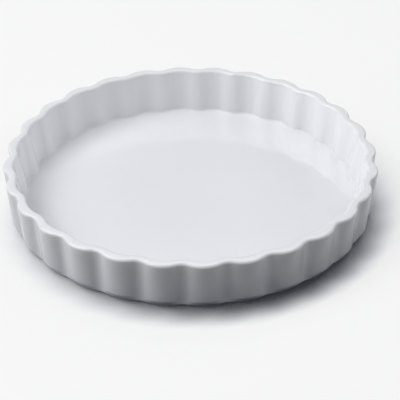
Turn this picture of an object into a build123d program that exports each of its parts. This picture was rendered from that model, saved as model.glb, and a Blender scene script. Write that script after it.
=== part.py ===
from build123d import *
from math import atan2, cos, hypot, pi, sin, tau
import os

# Fluted quiche dish: a shallow round porcelain dish with a scalloped wall that leans outwards.
# It stands on the XY plane with its axis on Z. The origin is the middle of the circle
# that its foot ring draws on the table, and +X runs through the middle of a lobe.

# Driving dimensions, in millimetres
rim_diameter = 280.0  # across opposite lobes, in the plane of the lip's top
base_diameter = 269.6  # across opposite lobes, in the plane of the underside
floor_diameter = 254.0  # inside, across opposite lobes, where the wall meets the floor
dish_height = 38.5  # from the table to the lip's top
lip_thickness = 7.6  # from the outside of a lobe to its inside
floor_thickness = 4.2
glaze_thickness = 0.3

# Flutes, each depth from a lobe in to a crease
flute_count = 28
rim_flute_depth = 3.8  # outside, in the plane of the lip's top
low_flute_depth = 3.3  # outside, where the lobes begin to draw in to the base
base_flute_depth = 1.3  # outside, in the plane of the underside
inner_rim_flute_depth = 2.2  # inside, in the plane of the lip's top
inner_floor_flute_depth = 3.0  # inside, in the plane of the floor
runout_height = 4.5  # of the strip above the underside in which the lobes draw in
outer_crease_radius = 11.0  # of the hollow arc between two lobes, on the outside
inner_crease_radius = 18.0  # of the ridge that a crease makes on the inside

# Rounded edges
lip_edge_radius = 2.0  # on both sides of the lip's flat top
floor_corner_radius = 2.0  # inside, where the wall meets the floor
base_edge_radius = 2.0  # outside, where the wall meets the underside

# Foot ring
foot_height = 1.0
foot_width = 4.0
foot_setback = 5.5  # from the creases of the underside in to the foot


# The scalloped outline
# Seen from above, each flute is a broad arc that bulges outwards, and a hollow arc joins it to
# the next one. The arcs are tangent where they meet. An inset draws the whole outline in.

def polar(radius, angle):
    return (radius * cos(angle), radius * sin(angle))


def between(first, last, share):
    return first + (last - first) * share


def fluted_outline(lobe, depth, crease_radius, inset):
    half_pitch = pi / flute_count
    crease = lobe - depth

    # Radius of the lobe's arc, from the triangle of the axis and the two arcs' centres
    crease_centre = crease + crease_radius
    crease_centre_x, crease_centre_y = polar(crease_centre, half_pitch)
    centres_apart = lobe**2 + crease_centre**2 - 2 * lobe * crease_centre_x - crease_radius**2
    lobe_radius = centres_apart / (2 * (lobe - crease_centre_x + crease_radius))

    # The point where the two arcs meet lies on the line through their centres
    meeting_share = (lobe_radius - inset) / (lobe_radius + crease_radius)
    meeting_x = (lobe - lobe_radius) * (1 - meeting_share) + crease_centre_x * meeting_share
    meeting_y = crease_centre_y * meeting_share
    meeting = hypot(meeting_x, meeting_y)
    turn = atan2(meeting_y, meeting_x)

    for flute in range(flute_count):
        middle = tau * flute / flute_count
        lobe_end = polar(meeting, middle + turn)
        ThreePointArc(polar(meeting, middle - turn), polar(lobe - inset, middle), lobe_end)
        next_lobe = polar(meeting, middle + 2 * half_pitch - turn)
        ThreePointArc(lobe_end, polar(crease - inset, middle + half_pitch), next_lobe)


# The two faces of the wall
# Outside, the creases lean out in one straight line from the underside to the rim. The lobes
# stand out from them by nearly the same depth down to a low strip, and there they draw in to
# an almost round base. Inside, the wall leans out from the floor to the rim, and grows
# thinner on the way.

def crease_reach(height):
    rise_share = (height - foot_height) / (dish_height - foot_height)
    base_crease = base_diameter / 2 - base_flute_depth
    return between(base_crease, rim_diameter / 2 - rim_flute_depth, rise_share)


def flute_depth(height):
    rise = height - foot_height
    if rise < runout_height:
        return between(base_flute_depth, low_flute_depth, rise / runout_height)
    wall_share = (rise - runout_height) / (dish_height - foot_height - runout_height)
    return between(low_flute_depth, rim_flute_depth, wall_share)


def outer_outline(height, skin):
    depth = flute_depth(height)
    fluted_outline(crease_reach(height) + depth, depth, outer_crease_radius, skin)


def inner_outline(height, skin):
    floor_top = foot_height + floor_thickness
    rise_share = (height - floor_top) / (dish_height - floor_top)
    lobe = between(floor_diameter / 2, rim_diameter / 2 - lip_thickness, rise_share)
    depth = between(inner_floor_flute_depth, inner_rim_flute_depth, rise_share)
    fluted_outline(lobe, depth, inner_crease_radius, -skin)


# The moulded form
# The dish without its foot ring, with every surface drawn in by the given skin. A skin of
# zero is the glazed surface that a hand touches. The glaze's own thickness gives the
# porcelain under it.

def moulded_form(skin):
    underside = foot_height + skin
    floor_top = foot_height + floor_thickness - skin
    lip_top = dish_height - skin
    with BuildPart() as form:
        # Solid block between the underside and the rim, with the fluted outside
        for height in (underside, foot_height + runout_height, lip_top):
            with BuildSketch(Plane.XY.offset(height)):
                with BuildLine():
                    outer_outline(height, skin)
                make_face()
        loft(ruled=True)

        # The hollow above the floor, with the fluted inside
        for height in (floor_top, lip_top):
            with BuildSketch(Plane.XY.offset(height)):
                with BuildLine():
                    inner_outline(height, skin)
                make_face()
        loft(ruled=True, mode=Mode.SUBTRACT)

        # Rounded edges: under the wall, round the floor, and both sides of the lip
        fillet(form.edges().group_by(Axis.Z)[0], base_edge_radius - skin)
        floor = form.faces().filter_by(Axis.Z).sort_by(Axis.Z)[1]
        fillet(floor.outer_wire().edges(), floor_corner_radius + skin)
        fillet(form.edges().group_by(Axis.Z)[-1], lip_edge_radius - skin)
    return form.part


glazed_form = moulded_form(0)
bisque_form = moulded_form(glaze_thickness)
foot_outer_radius = crease_reach(foot_height) - foot_setback
foot_inner_radius = foot_outer_radius - foot_width
bisque_underside = foot_height + glaze_thickness

os.makedirs("parts", exist_ok=True)


# Porcelain body
# Wall, floor and foot ring are one piece of porcelain, pressed in one mould and fired once
# before it is glazed. The foot ring is left bare and reaches down through the glaze.
with BuildPart() as porcelain_body:
    add(bisque_form)
    with BuildSketch(Plane.XY):
        Circle(foot_outer_radius)
        Circle(foot_inner_radius, mode=Mode.SUBTRACT)
    extrude(amount=bisque_underside)
porcelain_body.part.label = "porcelain_body"
export_step(porcelain_body.part, "parts/porcelain_body.step")


# Glaze coat
# One unbroken coat of white glaze: over the floor, up the inside, over the lip, down the
# outside and round under the wall as far as the foot ring.
with BuildPart() as glaze_coat:
    add(glazed_form)
    add(bisque_form, mode=Mode.SUBTRACT)
    with BuildSketch(Plane.XY.offset(foot_height)):
        Circle(foot_outer_radius)
    extrude(amount=glaze_thickness, mode=Mode.SUBTRACT)
glaze_coat.part.label = "glaze_coat"
export_step(glaze_coat.part, "parts/glaze_coat.step")


# Underside glaze
# The separate round patch of glaze inside the foot ring, where the bare ring breaks the coat.
with BuildPart() as underside_glaze:
    with BuildSketch(Plane.XY.offset(foot_height)):
        Circle(foot_inner_radius)
    extrude(amount=glaze_thickness)
underside_glaze.part.label = "underside_glaze"
export_step(underside_glaze.part, "parts/underside_glaze.step")
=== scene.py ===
import bpy
from math import cos, pi, radians, sin, tau
from mathutils import Matrix, Vector


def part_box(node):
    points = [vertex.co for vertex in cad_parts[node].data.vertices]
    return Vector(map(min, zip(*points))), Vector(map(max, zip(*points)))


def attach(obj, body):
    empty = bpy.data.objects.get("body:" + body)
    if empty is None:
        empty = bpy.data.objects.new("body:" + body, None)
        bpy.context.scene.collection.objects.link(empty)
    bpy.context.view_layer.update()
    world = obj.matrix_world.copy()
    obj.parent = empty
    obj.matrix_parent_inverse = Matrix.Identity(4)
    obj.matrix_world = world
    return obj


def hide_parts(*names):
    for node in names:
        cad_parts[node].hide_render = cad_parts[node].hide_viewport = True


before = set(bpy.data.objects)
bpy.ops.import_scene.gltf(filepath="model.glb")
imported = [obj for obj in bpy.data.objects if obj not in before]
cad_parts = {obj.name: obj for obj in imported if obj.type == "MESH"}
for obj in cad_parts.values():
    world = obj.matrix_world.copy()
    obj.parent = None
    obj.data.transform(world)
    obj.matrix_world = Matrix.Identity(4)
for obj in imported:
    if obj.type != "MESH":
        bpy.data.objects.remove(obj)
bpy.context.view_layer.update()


# Porcelain body
# The dish itself: floor, fluted wall, lip and foot ring in one piece of hard porcelain, pressed in
# one mould and fired once before glazing. Only its foot ring stays bare, ground flat to stand on.

flute_count = 28
steps_per_flute = 20
base_reach = 0.1348  # from the axis to a lobe, in the plane of the underside
floor_reach = 0.127  # the same inside, where the wall meets the floor
lip_thickness = 0.0076  # from the outside of a lobe to its inside
floor_thickness = 0.0042
rim_flute_depth = 0.0038  # from a lobe in to a crease
low_flute_depth = 0.0033  # the same, where the lobes begin to draw in to the base
base_flute_depth = 0.0013
inner_rim_flute_depth = 0.0022
inner_floor_flute_depth = 0.003
runout_height = 0.0055  # of the strip in which the lobes draw in
crease_radius = 0.011
inner_crease_radius = 0.018
lip_edge_radius = 0.002
base_edge_radius = 0.002
floor_corner_radius = 0.002
foot_width = 0.004
foot_edge_radius = 0.0004

# One lobe lies on the x axis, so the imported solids' boxes reach as far as the lobes do
underside_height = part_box("glaze_coat")[0].z
dish_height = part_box("glaze_coat")[1].z
widest_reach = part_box("glaze_coat")[1].x
foot_inner_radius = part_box("underside_glaze")[1].x
foot_outer_radius = foot_inner_radius + foot_width
glaze_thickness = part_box("underside_glaze")[1].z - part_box("underside_glaze")[0].z

# The lobes are widest where the lip's rounded edge begins, and their lean is carried on to its top
lip_middle = dish_height - lip_edge_radius
low_top = underside_height + runout_height
widest_share = (lip_middle - underside_height) / (dish_height - underside_height)
depth_gain = (rim_flute_depth - low_flute_depth) * (lip_middle - low_top) / (dish_height - low_top)
base_crease_reach = base_reach - base_flute_depth
widest_crease_reach = widest_reach - low_flute_depth - depth_gain
rim_crease_reach = base_crease_reach + (widest_crease_reach - base_crease_reach) / widest_share
inner_rim_reach = rim_crease_reach + rim_flute_depth - lip_thickness


def station(inset, height, lean_height=None, inside=0.0, circle=0.0, circle_share=0.0, pooled=0.0,
            thinned=0.0):
    """One point of a section: how far it is drawn in from the fluted outline, how high it lies, the
    height whose outline it follows, how much of the inner face's outline and of a plain circle is
    mixed in, and where the glaze on it gathered or ran thin."""
    lean_height = height if lean_height is None else lean_height
    return (inset, height, lean_height, inside, circle, circle_share, pooled, thinned)


def rounding(inset, height, radius, first, last, steps, lean_height=None, inside=0.0, pooled=0.0,
             thinned=0.0):
    """Stations round an arc of the section. At 0 degrees a point faces outwards and at 90 up. The
    glaze is at its thickest, or thinnest, in the middle of the arc."""
    row = []
    for step in range(steps + 1):
        angle = radians(first + (last - first) * step / steps)
        fullness = sin(pi * step / steps)
        row.append(station(inset - radius * cos(angle), height + radius * sin(angle), lean_height,
                           inside, pooled=pooled * fullness, thinned=thinned * fullness))
    return row


def shell_section(skin):
    """The section of the dish from under the wall, over the lip, to the middle of the floor, with
    every surface drawn in by skin from the glazed surface."""
    underside = underside_height + skin
    base_middle = underside_height + base_edge_radius
    floor = underside_height + floor_thickness - skin
    corner_middle = underside_height + floor_thickness + floor_corner_radius
    under_wall_shares = (0.9, 0.6, 0.25)  # of the foot ring's circle in the outline
    base_steps, base_pooling = 8, 0.4
    low_rows = 6
    wall_rows = 8
    # On the lip the thin-glaze mask also carries painted shade
    lip_steps, lip_thinning_and_shade = 9, 0.8
    lip_top_shares = (0.25, 0.5, 0.75)  # of the inner outline
    corner_steps, corner_pooling = 10, 1.0
    floor_shares = (0.08, 0.3, 0.65, 1.0)  # of the way in to the axis

    section = [station(base_edge_radius, underside, circle=foot_outer_radius, circle_share=1.0,
                       thinned=1.0)]
    for share in under_wall_shares:
        section.append(station(base_edge_radius, underside, circle=foot_outer_radius,
                               circle_share=share))
    section += rounding(base_edge_radius, base_middle, base_edge_radius - skin, -90, 0, base_steps,
                        pooled=base_pooling)
    for row in range(1, low_rows):
        section.append(station(skin, base_middle + (low_top - base_middle) * row / low_rows))
    for row in range(wall_rows):
        section.append(station(skin, low_top + (lip_middle - low_top) * row / wall_rows))
    section += rounding(lip_edge_radius, lip_middle, lip_edge_radius - skin, 0, 90, lip_steps,
                        lip_middle, thinned=lip_thinning_and_shade)
    for share in lip_top_shares:
        section.append(station(lip_edge_radius * (1 - 2 * share), dish_height - skin, lip_middle,
                               inside=share))
    section += rounding(-lip_edge_radius, lip_middle, lip_edge_radius - skin, 90, 180, lip_steps,
                        lip_middle, inside=1.0, thinned=lip_thinning_and_shade)
    for row in range(1, wall_rows):
        height = lip_middle + (corner_middle - lip_middle) * row / wall_rows
        section.append(station(-skin, height, inside=1.0))
    section += rounding(floor_corner_radius, corner_middle, floor_corner_radius + skin, 0, -90,
                        corner_steps, corner_middle, inside=1.0, pooled=corner_pooling)
    for share in floor_shares:
        section.append(station(floor_corner_radius, floor, corner_middle, inside=1.0, circle=0.0,
                               circle_share=share))
    return section


def circle_section(points):
    """A section whose outline is a plain circle throughout, from (radius, height) points."""
    return [station(0.0, height, circle=radius, circle_share=1.0) for radius, height in points]


def foot_section():
    """The foot ring's section, from the middle of the bare underside to its outer side."""
    edge = foot_edge_radius
    edge_steps = 4
    top = underside_height + glaze_thickness
    quarter = [radians(90 * step / edge_steps) for step in range(edge_steps + 1)]
    points = [(0.0, top), (foot_inner_radius / 2, top), (foot_inner_radius - edge, top),
              (foot_inner_radius, top)]
    points += [(foot_inner_radius + edge - edge * cos(a), edge - edge * sin(a)) for a in quarter]
    points += [(foot_inner_radius + foot_width / 2, 0.0)]
    points += [(foot_outer_radius - edge + edge * sin(a), edge - edge * cos(a)) for a in quarter]
    return circle_section(points)


def node_maker(tree):
    """Two short ways to add nodes to a tree: put() for a node with its inputs, calc() for one sum."""
    def put(kind, inputs=(), **settings):
        node = tree.nodes.new(kind)
        for setting, value in settings.items():
            setattr(node, setting, value)
        for name, value in dict(inputs).items():
            if isinstance(value, bpy.types.NodeSocket):
                tree.links.new(value, node.inputs[name])
            else:
                node.inputs[name].default_value = value
        return node

    def calc(operation, *terms):
        return put("ShaderNodeMath", enumerate(terms), operation=operation).outputs[0]

    return put, calc


def add_sockets(tree, values, outputs):
    """Gives a tree its named inputs, each with its usual value, and its named outputs. An input
    without a value is a vector."""
    kinds = {int: "NodeSocketInt", float: "NodeSocketFloat", type(None): "NodeSocketVector"}
    for name, value in values.items():
        socket = tree.interface.new_socket(name, in_out="INPUT", socket_type=kinds[type(value)])
        if value is not None:
            socket.default_value = value
    for name, kind in outputs.items():
        tree.interface.new_socket(name, in_out="OUTPUT", socket_type=kind)
    return tree.nodes.new("NodeGroupInput").outputs, tree.nodes.new("NodeGroupOutput").inputs


def fluted_sweep():
    """The tree that turns a section into a dish: a circle carries the section round the axis, and
    each point moves to the fluted outline of its height. Lobes and creases are tangent arcs."""
    tree = bpy.data.node_groups.new("fluted_sweep", "GeometryNodeTree")
    tree.interface.new_socket("Geometry", in_out="INPUT", socket_type="NodeSocketGeometry")
    tree.interface.new_socket("Material", in_out="INPUT", socket_type="NodeSocketMaterial")
    given, result = add_sockets(tree, {
        "Flutes": flute_count,
        "Steps per flute": steps_per_flute,
        "Rim crease reach": rim_crease_reach,
        "Base crease reach": base_crease_reach,
        "Rim flute depth": rim_flute_depth,
        "Low flute depth": low_flute_depth,
        "Base flute depth": base_flute_depth,
        "Runout height": runout_height,
        "Crease radius": crease_radius,
        "Inner rim reach": inner_rim_reach,
        "Floor reach": floor_reach,
        "Inner rim flute depth": inner_rim_flute_depth,
        "Inner floor flute depth": inner_floor_flute_depth,
        "Inner crease radius": inner_crease_radius,
        "Underside height": underside_height,
        "Floor height": underside_height + floor_thickness,
        "Dish height": dish_height,
        "Closing distance": 0.000001,
    }, {"Geometry": "NodeSocketGeometry"})
    put, calc = node_maker(tree)

    def attribute(name):
        return put("GeometryNodeInputNamedAttribute", {"Name": name},
                   data_type="FLOAT").outputs["Attribute"]

    # The circle carries each column's angle, and the section carries its own numbers. The circle can
    # have any radius, because every point is moved
    columns = calc("MULTIPLY", given["Flutes"], given["Steps per flute"])
    circle = put("GeometryNodeCurvePrimitiveCircle", {"Resolution": columns, "Radius": 0.1})
    turned = calc("MULTIPLY", put("GeometryNodeInputIndex").outputs[0], calc("DIVIDE", tau, columns))
    carrier = put("GeometryNodeStoreNamedAttribute",
                  {"Geometry": circle.outputs[0], "Name": "angle", "Value": turned},
                  data_type="FLOAT", domain="POINT")
    section = put("GeometryNodeMeshToCurve", {"Mesh": given["Geometry"]})
    swept = put("GeometryNodeCurveToMesh",
                {"Curve": carrier.outputs[0], "Profile Curve": section.outputs[0]})

    def mix(share, first, second):
        return calc("MULTIPLY_ADD", share, calc("SUBTRACT", second, first), first)

    # Outside, the creases lean out to the rim, and the lobes draw in softly in a strip above the base
    height = attribute("lean_height")
    above_base = calc("SUBTRACT", height, given["Underside height"])
    wall_height = calc("SUBTRACT", given["Dish height"], given["Underside height"])
    rise = calc("DIVIDE", above_base, wall_height)
    low_share = calc("DIVIDE", given["Runout height"], wall_height)
    wall_share = calc("DIVIDE", calc("SUBTRACT", rise, low_share), calc("SUBTRACT", 1.0, low_share))
    wall_depth = mix(wall_share, given["Low flute depth"], given["Rim flute depth"])
    runout = put("ShaderNodeMapRange",
                 {"Value": above_base, "From Min": 0.0, "From Max": given["Runout height"],
                  "To Min": 0.0, "To Max": 1.0}, interpolation_type="SMOOTHSTEP").outputs[0]
    outer_depth = mix(runout, given["Base flute depth"], wall_depth)
    outer_crease = mix(rise, given["Base crease reach"], given["Rim crease reach"])
    outer_lobe = calc("ADD", outer_crease, outer_depth)

    # Inside, the wall leans out from the floor
    inner_rise = calc("DIVIDE", calc("SUBTRACT", height, given["Floor height"]),
                      calc("SUBTRACT", given["Dish height"], given["Floor height"]))
    inner_lobe = mix(inner_rise, given["Floor reach"], given["Inner rim reach"])
    inner_depth = mix(inner_rise, given["Inner floor flute depth"], given["Inner rim flute depth"])

    # How far the outline's lobes and creases reach at this height, on this side of the wall
    inside = attribute("inside")
    lobe = mix(inside, outer_lobe, inner_lobe)
    crease = calc("SUBTRACT", lobe, mix(inside, outer_depth, inner_depth))
    crease_radius_here = mix(inside, given["Crease radius"], given["Inner crease radius"])

    # The outline's two arcs: lobe radius, and the distances of both centres
    half_pitch = calc("DIVIDE", pi, given["Flutes"])
    crease_centre = calc("ADD", crease, crease_radius_here)
    crease_x = calc("MULTIPLY", crease_centre, calc("COSINE", half_pitch))
    crease_y = calc("MULTIPLY", crease_centre, calc("SINE", half_pitch))
    squares = calc("ADD", calc("MULTIPLY", lobe, lobe), calc("MULTIPLY", crease_centre, crease_centre))
    squares = calc("SUBTRACT", squares, calc("MULTIPLY", crease_radius_here, crease_radius_here))
    squares = calc("SUBTRACT", squares, calc("MULTIPLY", calc("MULTIPLY", lobe, crease_x), 2.0))
    spread = calc("ADD", calc("SUBTRACT", lobe, crease_x), crease_radius_here)
    lobe_radius = calc("DIVIDE", squares, calc("MULTIPLY", spread, 2.0))
    lobe_centre = calc("SUBTRACT", lobe, lobe_radius)

    # The two arcs drawn in by the inset, and the angle at which they meet
    inset = attribute("inset")
    lobe_arc = calc("SUBTRACT", lobe_radius, inset)
    crease_arc = calc("ADD", crease_radius_here, inset)
    reach_share = calc("DIVIDE", lobe_arc, calc("ADD", lobe_radius, crease_radius_here))
    meeting_x = calc("MULTIPLY_ADD", calc("SUBTRACT", crease_x, lobe_centre), reach_share, lobe_centre)
    meeting = calc("ARCTAN2", calc("MULTIPLY", crease_y, reach_share), meeting_x)

    # Where this column's ray meets the arc that it crosses
    angle = attribute("angle")
    from_lobe = calc("WRAP", angle, half_pitch, calc("MULTIPLY", half_pitch, -1.0))
    from_lobe = calc("ABSOLUTE", from_lobe)
    to_crease = calc("SUBTRACT", half_pitch, from_lobe)
    lobe_side = calc("MULTIPLY", lobe_centre, calc("SINE", from_lobe))
    lobe_half_chord = calc("SQRT", calc("SUBTRACT", calc("MULTIPLY", lobe_arc, lobe_arc),
                                        calc("MULTIPLY", lobe_side, lobe_side)))
    lobe_hit = calc("ADD", calc("MULTIPLY", lobe_centre, calc("COSINE", from_lobe)), lobe_half_chord)
    crease_side = calc("MULTIPLY", crease_centre, calc("SINE", to_crease))
    crease_half_chord = calc("SQRT", calc("SUBTRACT", calc("MULTIPLY", crease_arc, crease_arc),
                                          calc("MULTIPLY", crease_side, crease_side)))
    crease_hit = calc("SUBTRACT", calc("MULTIPLY", crease_centre, calc("COSINE", to_crease)),
                      crease_half_chord)
    in_crease = calc("GREATER_THAN", from_lobe, meeting)
    fluted = mix(in_crease, lobe_hit, crease_hit)
    radius = mix(attribute("circle_share"), fluted, attribute("circle"))
    place = put("ShaderNodeCombineXYZ", {"X": calc("MULTIPLY", radius, calc("COSINE", angle)),
                                         "Y": calc("MULTIPLY", radius, calc("SINE", angle)),
                                         "Z": attribute("height")})
    shaped = put("GeometryNodeSetPosition",
                 {"Geometry": swept.outputs[0], "Position": place.outputs[0]})

    # The middle of the floor closes to one point
    closed = put("GeometryNodeMergeByDistance",
                 {"Geometry": shaped.outputs[0], "Distance": given["Closing distance"]})
    smooth = put("GeometryNodeSetShadeSmooth", {"Geometry": closed.outputs[0]})
    real = put("GeometryNodeRealizeInstances", {"Geometry": smooth.outputs[0]})
    finished = put("GeometryNodeSetMaterial",
                   {"Geometry": real.outputs[0], "Material": given["Material"]})
    tree.links.new(finished.outputs[0], result["Geometry"])
    return tree


sweep_tree = fluted_sweep()


def swept_piece(name, section, material):
    """A piece of the dish from its section, as a plain closed mesh with the material on it. The
    section runs clockwise round its material, so that the faces point outwards."""
    line = bpy.data.meshes.new(name + "_section")
    line.from_pydata([(inset, height, 0.0) for inset, height, *_ in section],
                     [(row, row + 1) for row in range(len(section) - 1)], [])
    carried = ("inset", "height", "lean_height", "inside", "circle", "circle_share", "pooled",
               "thinned")
    for column, attribute in enumerate(carried):
        values = line.attributes.new(attribute, "FLOAT", "POINT").data
        values.foreach_set("value", [point[column] for point in section])
    seed = bpy.data.objects.new(name + "_seed", line)
    bpy.context.scene.collection.objects.link(seed)
    modifier = seed.modifiers.new("sweep", "NODES")
    modifier.node_group = sweep_tree
    sockets = {item.name: item.identifier for item in sweep_tree.interface.items_tree
               if item.in_out == "INPUT"}
    modifier[sockets["Material"]] = material
    graph = bpy.context.evaluated_depsgraph_get()
    mesh = bpy.data.meshes.new_from_object(seed.evaluated_get(graph))
    seed.modifiers.remove(modifier)
    bpy.data.objects.remove(seed)
    mesh.name = name
    piece = bpy.data.objects.new(name, mesh)
    bpy.context.scene.collection.objects.link(piece)
    return piece


def ceramic_grain():
    """Shader group for the speckle of fired clay: a fine grain, broad soft patches, and rare iron
    specks, each as a mask."""
    tree = bpy.data.node_groups.new("ceramic_grain", "ShaderNodeTree")
    given, result = add_sockets(tree, {
        "Vector": None,
        "Grain width": 0.0005,
        "Patch width": 0.03,
        "Speck spacing": 0.012,
        "Speck radius": 0.0002,
        "Speck sharpness": 2.5,
    }, {"Grain": "NodeSocketFloat", "Patch": "NodeSocketFloat", "Speck": "NodeSocketFloat"})
    put, calc = node_maker(tree)
    grain = put("ShaderNodeTexNoise",
                {"Vector": given["Vector"], "Scale": calc("DIVIDE", 1.0, given["Grain width"]),
                 "Detail": 3.0, "Roughness": 0.6})
    patch = put("ShaderNodeTexNoise",
                {"Vector": given["Vector"], "Scale": calc("DIVIDE", 1.0, given["Patch width"]),
                 "Detail": 2.0, "Roughness": 0.45})
    cells = put("ShaderNodeTexVoronoi",
                {"Vector": given["Vector"], "Scale": calc("DIVIDE", 1.0, given["Speck spacing"])})
    reach = calc("MULTIPLY", cells.outputs["Distance"], given["Speck spacing"])
    inside = calc("SUBTRACT", 1.0, calc("DIVIDE", reach, given["Speck radius"]))
    speck = put("ShaderNodeClamp", {"Value": calc("MULTIPLY", inside, given["Speck sharpness"])})
    tree.links.new(grain.outputs[0], result["Grain"])
    tree.links.new(patch.outputs[0], result["Patch"])
    tree.links.new(speck.outputs[0], result["Speck"])
    return tree


grain_group = ceramic_grain()


def new_material(name):
    """A material with its shader, its ways to add nodes and the object's own coordinates."""
    material = bpy.data.materials.new(name)
    material.use_nodes = True
    tree = material.node_tree
    put, calc = node_maker(tree)
    shader = tree.nodes["Principled BSDF"]
    return material, shader, put, calc, put("ShaderNodeTexCoord").outputs["Object"]


def blend(put, factor, first, second):
    """One colour turned into another by a mask."""
    return put("ShaderNodeMixRGB", {"Fac": factor, "Color1": first, "Color2": second}).outputs[0]


def ramp(put, value, low, high, first=0.0, last=1.0):
    """A mask that goes smoothly from first to last while value goes from low to high."""
    return put("ShaderNodeMapRange",
               {"Value": value, "From Min": low, "From Max": high, "To Min": first, "To Max": last},
               interpolation_type="SMOOTHSTEP").outputs[0]


def connect(shader, **sources):
    """Joins nodes to the shader's sockets: the words of a socket's name are written with _ between."""
    for socket, source in sources.items():
        shader.id_data.links.new(source, shader.inputs[socket.replace("_", " ")])


def bare_porcelain():
    """Fired porcelain without glaze: warm white and matt, with a fine tooth, a tan blush beside the
    glaze and grey rub marks on the face that it stands on."""
    warm_clay = (0.71, 0.675, 0.61, 1)
    pale_clay = (0.77, 0.745, 0.69, 1)
    grain_tan, grain_strength = (0.6, 0.56, 0.5, 1), 0.25
    blush_tan, blush_strength = (0.66, 0.53, 0.4, 1), 0.5
    rub_grey, rub_strength = (0.36, 0.35, 0.34, 1), 0.45
    speck_brown = (0.2, 0.15, 0.11, 1)
    blush_start = underside_height * 0.55
    rub_height = 0.00012
    rub_polish = 0.2  # how much smoother the rubbed face is
    tooth_height = 0.00006

    material, shader, put, calc, coordinates = new_material("bare_porcelain")
    grain = put("ShaderNodeGroup",
                {"Vector": coordinates, "Grain width": 0.0004, "Patch width": 0.012,
                 "Speck spacing": 0.006, "Speck radius": 0.0003}, node_tree=grain_group)
    height = put("ShaderNodeSeparateXYZ", {"Vector": coordinates}).outputs["Z"]
    beside_glaze = ramp(put, height, blush_start, underside_height)
    standing_face = ramp(put, height, 0.0, rub_height, 1.0, 0.0)
    rubs = put("ShaderNodeTexNoise",
               {"Vector": coordinates, "Scale": 420.0, "Detail": 4.0, "Roughness": 0.7})
    rubbed = calc("MULTIPLY", standing_face, ramp(put, rubs.outputs[0], 0.48, 0.62))

    color = blend(put, ramp(put, grain.outputs["Patch"], 0.3, 0.7), warm_clay, pale_clay)
    color = blend(put, calc("MULTIPLY", grain.outputs["Grain"], grain_strength), color, grain_tan)
    color = blend(put, calc("MULTIPLY", beside_glaze, blush_strength), color, blush_tan)
    color = blend(put, calc("MULTIPLY", rubbed, rub_strength), color, rub_grey)
    color = blend(put, grain.outputs["Speck"], color, speck_brown)
    roughness = calc("SUBTRACT", ramp(put, grain.outputs["Grain"], 0.25, 0.75, 0.7, 0.9),
                     calc("MULTIPLY", rubbed, rub_polish))
    tooth = put("ShaderNodeBump",
                {"Height": grain.outputs["Grain"], "Distance": tooth_height, "Strength": 0.8})
    connect(shader, Base_Color=color, Roughness=roughness, Normal=tooth.outputs[0])
    shader.inputs["IOR"].default_value = 1.5
    return material


body_section = list(reversed(foot_section() + shell_section(glaze_thickness)))
body = swept_piece("dish_body", body_section, bare_porcelain())
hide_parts("porcelain_body")
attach(body, "root")


# White glaze
# A clear-white glaze poured over the fired body, a third of a millimetre thick. In the kiln it melts
# to glass: it gathers in the corner round the floor and draws thin over the lip, where its colour is
# also made darker as painted shade.

glaze_white = (0.85, 0.858, 0.888, 1)
pooled_white = (0.81, 0.826, 0.862, 1)
# Thin glaze: warmer, and darker so that the lip's top is no brighter than the floor, partly painted
# shade
thin_and_shaded_white = (0.835, 0.839, 0.853, 1)
speck_under_glaze = (0.36, 0.32, 0.28, 1)
pooled_strength = 0.7
patch_strength = 0.18
speck_strength = 0.55


def glaze_melt():
    """Shader group for the surface of a melted glaze: slow waves left by its flow, a finer skin like
    orange peel, and small pits where a bubble burst, with a mask of its duller places."""
    tree = bpy.data.node_groups.new("glaze_melt", "ShaderNodeTree")
    given, result = add_sockets(tree, {
        "Vector": None,
        "Wave width": 0.025,
        "Wave height": 0.00005,
        "Peel width": 0.0018,
        "Peel height": 0.0000015,
        "Pit spacing": 0.016,
        "Pit radius": 0.0003,
        "Pit depth": 0.00005,
    }, {"Height": "NodeSocketFloat", "Dulling": "NodeSocketFloat"})
    put, calc = node_maker(tree)
    waves = put("ShaderNodeTexNoise",
                {"Vector": given["Vector"], "Scale": calc("DIVIDE", 1.0, given["Wave width"]),
                 "Detail": 1.0, "Roughness": 0.35})
    peel = put("ShaderNodeTexNoise",
               {"Vector": given["Vector"], "Scale": calc("DIVIDE", 1.0, given["Peel width"]),
                "Detail": 1.0, "Roughness": 0.5})
    cells = put("ShaderNodeTexVoronoi",
                {"Vector": given["Vector"], "Scale": calc("DIVIDE", 1.0, given["Pit spacing"])})
    reach = calc("MULTIPLY", cells.outputs["Distance"], given["Pit spacing"])
    pit = ramp(put, reach, 0.0, given["Pit radius"], 1.0, 0.0)
    height = calc("MULTIPLY", waves.outputs[0], given["Wave height"])
    height = calc("MULTIPLY_ADD", peel.outputs[0], given["Peel height"], height)
    height = calc("SUBTRACT", height, calc("MULTIPLY", pit, given["Pit depth"]))
    dulling = put("ShaderNodeTexNoise",
                  {"Vector": given["Vector"], "Scale": 38.0, "Detail": 5.0, "Roughness": 0.62})
    tree.links.new(height, result["Height"])
    tree.links.new(ramp(put, dulling.outputs[0], 0.35, 0.75), result["Dulling"])
    return tree


melt_group = glaze_melt()


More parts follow.
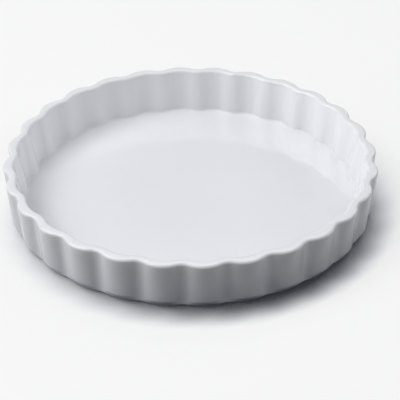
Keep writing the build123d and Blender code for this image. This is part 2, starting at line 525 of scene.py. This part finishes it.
def fired_glaze(name, speck_radius, wave_height, cleanest_roughness, dullest_roughness):
    """White glaze over porcelain, bluer where it pooled and warmer where it ran thin, with specks that
    show through it. Over the lip the thin glaze is also darker, as painted shade."""
    material, shader, put, calc, coordinates = new_material(name)
    grain = put("ShaderNodeGroup",
                {"Vector": coordinates, "Grain width": 0.0012, "Patch width": 0.045,
                 "Speck spacing": 0.014, "Speck radius": speck_radius}, node_tree=grain_group)
    melt = put("ShaderNodeGroup", {"Vector": coordinates, "Wave height": wave_height},
               node_tree=melt_group)
    pooled = put("ShaderNodeAttribute", attribute_name="pooled").outputs["Fac"]
    thinned = put("ShaderNodeAttribute", attribute_name="thinned").outputs["Fac"]

    color = blend(put, calc("MULTIPLY", pooled, pooled_strength), glaze_white, pooled_white)
    # Thin glaze over the lip: partly real thinning, partly painted shade
    color = blend(put, thinned, color, thin_and_shaded_white)
    shade = ramp(put, grain.outputs["Patch"], 0.3, 0.7, 0.0, patch_strength)
    color = blend(put, shade, color, pooled_white)
    specks = calc("MULTIPLY", grain.outputs["Speck"], speck_strength)
    color = blend(put, specks, color, speck_under_glaze)
    bump = put("ShaderNodeBump",
               {"Height": melt.outputs["Height"], "Distance": 1.0, "Strength": 1.0})
    roughness = calc("MULTIPLY_ADD", melt.outputs["Dulling"], dullest_roughness - cleanest_roughness,
                     cleanest_roughness)
    connect(shader, Base_Color=color, Roughness=roughness, Normal=bump.outputs[0])
    shader.inputs["IOR"].default_value = 1.52
    return material


glaze = fired_glaze("white_glaze", speck_radius=0.0002, wave_height=0.00005,
                    cleanest_roughness=0.07, dullest_roughness=0.13)
outer_face = list(reversed(shell_section(0.0)))
coat = swept_piece("dish_glaze", outer_face + shell_section(glaze_thickness), glaze)
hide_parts("glaze_coat")
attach(coat, "root")


# Underside glaze
# A round patch of the same glaze inside the foot ring, wiped level with the ring's inner side. It
# fires a little duller than the rest, and picks up larger specks.

patch_top = underside_height + glaze_thickness
patch_section = circle_section([(0.0, patch_top), (foot_inner_radius, patch_top),
                                (foot_inner_radius, underside_height), (0.0, underside_height)])
duller_glaze = fired_glaze("underside_glaze", speck_radius=0.0003, wave_height=0.00008,
                           cleanest_roughness=0.1, dullest_roughness=0.2)
patch = swept_piece("foot_glaze", patch_section, duller_glaze)
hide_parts("underside_glaze")
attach(patch, "root")


# Table
# A pale sheet under the dish. The camera and the glaze see it nearly white, three tenths of that by
# the lamps and the rest by an even glow, and it throws little light back up at the wall. Round the
# dish's foot a painted shadow, made with an ambient-occlusion mask, darkens both parts.

sheet_white = (0.3, 0.3, 0.3, 1)  # of the part that the lamps light
sheet_glow = 0.643
sheet_thrown = (0.045, 0.05, 0.062, 1)  # what it sends back to the dish
sheet_reach = 6.0
# Painted shadow round the dish: its darkest tint, its bluish half shadow, and the shape of its
# occlusion mask
painted_shadow_tint = (0.0, 0.006, 0.018, 1)
painted_penumbra_white = (0.985, 0.99, 1.045, 1)  # painted bluish tint of the sheet wherever the painted shadow darkens it at all
painted_penumbra_start = 0.85
painted_shadow_reach = 0.025  # how near the dish the painted shadow darkens the sheet
painted_shadow_lean = radians(78)  # of the painted shadow's occlusion mask from straight up, and its bearing; no lamp casts it
painted_shadow_bearing = radians(118)
painted_shadow_depth = 2.5
painted_shadow_falloff = 2.0
painted_shadow_contrast = 1.5
painted_shadow_rays = 24
painted_shadow_darkest = 0.03
black = (0.0, 0.0, 0.0, 1)
white = (1.0, 1.0, 1.0, 1)

table_mesh = bpy.data.meshes.new("table")
table_mesh.from_pydata([(-sheet_reach, -sheet_reach, 0), (sheet_reach, -sheet_reach, 0),
                        (sheet_reach, sheet_reach, 0), (-sheet_reach, sheet_reach, 0)],
                       [], [(0, 1, 2, 3)])
table = bpy.data.objects.new("table", table_mesh)
bpy.context.scene.collection.objects.link(table)
table_material, shader, put, calc, _ = new_material("pale_table")

# Only these rays see the sheet pale
ray = put("ShaderNodeLightPath").outputs
seen = calc("MAXIMUM", calc("MAXIMUM", ray["Is Camera Ray"], ray["Is Glossy Ray"]),
            ray["Is Transmission Ray"])

# Painted shadow: an occlusion mask that leans to the back left darkens the sheet's colour near the
# dish, most in front of it
lean = put("ShaderNodeCombineXYZ", {"X": cos(painted_shadow_bearing) * sin(painted_shadow_lean),
                                    "Y": sin(painted_shadow_bearing) * sin(painted_shadow_lean),
                                    "Z": cos(painted_shadow_lean)})
painted_shadow_openness = put("ShaderNodeAmbientOcclusion",
               {"Distance": painted_shadow_reach, "Normal": lean.outputs[0]}, samples=painted_shadow_rays)
painted_shadow_closeness = calc("POWER", calc("SUBTRACT", 1.0, painted_shadow_openness.outputs["AO"]), painted_shadow_falloff)
painted_shadow_openness = calc("MAXIMUM", calc("SUBTRACT", 1.0, calc("MULTIPLY", painted_shadow_closeness, painted_shadow_depth)),
                painted_shadow_darkest)
painted_shadow_openness = calc("POWER", painted_shadow_openness, painted_shadow_contrast)

# The painted shadow's colours: bluish in its half shadow, darkening both the lamp-lit share and the
# even glow
painted_penumbra = blend(put, ramp(put, painted_shadow_openness, painted_penumbra_start, 1.0), painted_penumbra_white, white)
painted_shade_lit = blend(put, painted_shadow_openness, black, sheet_white)
glow = blend(put, seen, black, blend(put, painted_shadow_openness, painted_shadow_tint, painted_penumbra))
connect(shader, Base_Color=blend(put, seen, sheet_thrown, painted_shade_lit), Emission_Color=glow)
shader.inputs["Emission Strength"].default_value = sheet_glow
shader.inputs["Roughness"].default_value = 1.0
shader.inputs["Specular IOR Level"].default_value = 0.0
table_mesh.materials.append(table_material)


# Camera
# At the photograph's angle: a long lens that looks down at the dish from a little over a third of
# the way between level and overhead.

camera_turn = radians(4.26)
camera_elevation = radians(33.79)
camera_roll = radians(0.29)
rim_radius = 0.14
camera_offset = Vector((-0.0487, -0.0042, 8.229)) * rim_radius  # of the dish: right, down and ahead
sensor_width = 36.0
focal_length = 1511.4  # in the photograph's pixels, as its width is
photograph_width = 400

camera = bpy.data.objects.new("camera", bpy.data.cameras.new("camera"))
bpy.context.scene.collection.objects.link(camera)
bpy.context.scene.camera = camera
camera.data.sensor_width = sensor_width
camera.data.lens = focal_length / photograph_width * sensor_width
look = Vector((0.0, cos(camera_elevation), -sin(camera_elevation)))
right = Vector((1.0, 0.0, 0.0))
down = look.cross(right)
rolled_right = right * cos(camera_roll) + down * sin(camera_roll)
rolled_down = down * cos(camera_roll) - right * sin(camera_roll)
camera_place = -(rolled_right * camera_offset.x + rolled_down * camera_offset.y
                 + look * camera_offset.z)
axes = Matrix((rolled_right, -rolled_down, -look)).transposed().to_4x4()
camera.matrix_world = Matrix.Rotation(-camera_turn, 4, "Z") @ Matrix.Translation(camera_place) @ axes


# Lamps
# Soft boxes round the table, all as far from the dish and each turned to it, and a faint even light
# from the room. A lamp's strength is how bright it makes a white sheet that faces it at the dish.

lamp_distance = 3.0
# name: bearing from the camera's right and angle above the table in degrees, width, height, strength
lamps = {
    "left": (170, 50, 1.3, 1.2, 0.28),
    "left_low": (180, 8, 1.9, 0.8, 0.217),
    "front_left": (210, 60, 1.3, 1.2, 0.272),
    "left_middle": (200, 40, 1.3, 1.2, 0.158),
    "right": (0, 26, 1.7, 0.9, 0.149),
    "front_right": (330, 50, 1.3, 1.2, 0.129),
    "back_right": (45, 26, 1.7, 0.9, 0.095),
    "back": (90, 50, 1.3, 1.2, 0.092),
}
room_strength = 0.133
room_white = (0.96, 0.985, 1.035, 1)

for name, (bearing, rise, width, height, strength) in lamps.items():
    lamp = bpy.data.objects.new(name + "_lamp", bpy.data.lights.new(name + "_lamp", "AREA"))
    bpy.context.scene.collection.objects.link(lamp)
    lamp.data.shape = "RECTANGLE"
    lamp.data.size = width
    lamp.data.size_y = height
    lamp.data.energy = pi * pi * lamp_distance * lamp_distance * strength
    turn = radians(bearing) - camera_turn
    towards = Vector((cos(turn) * cos(radians(rise)), sin(turn) * cos(radians(rise)),
                      sin(radians(rise))))
    facing = towards.to_track_quat("Z", "Y").to_matrix().to_4x4()
    lamp.matrix_world = Matrix.Translation(towards * lamp_distance) @ facing

room = bpy.data.worlds.new("room")
bpy.context.scene.world = room
room.use_nodes = True
room.node_tree.nodes["Background"].inputs["Strength"].default_value = room_strength
room.node_tree.nodes["Background"].inputs["Color"].default_value = room_white

bpy.context.scene.view_settings.view_transform = "Standard"
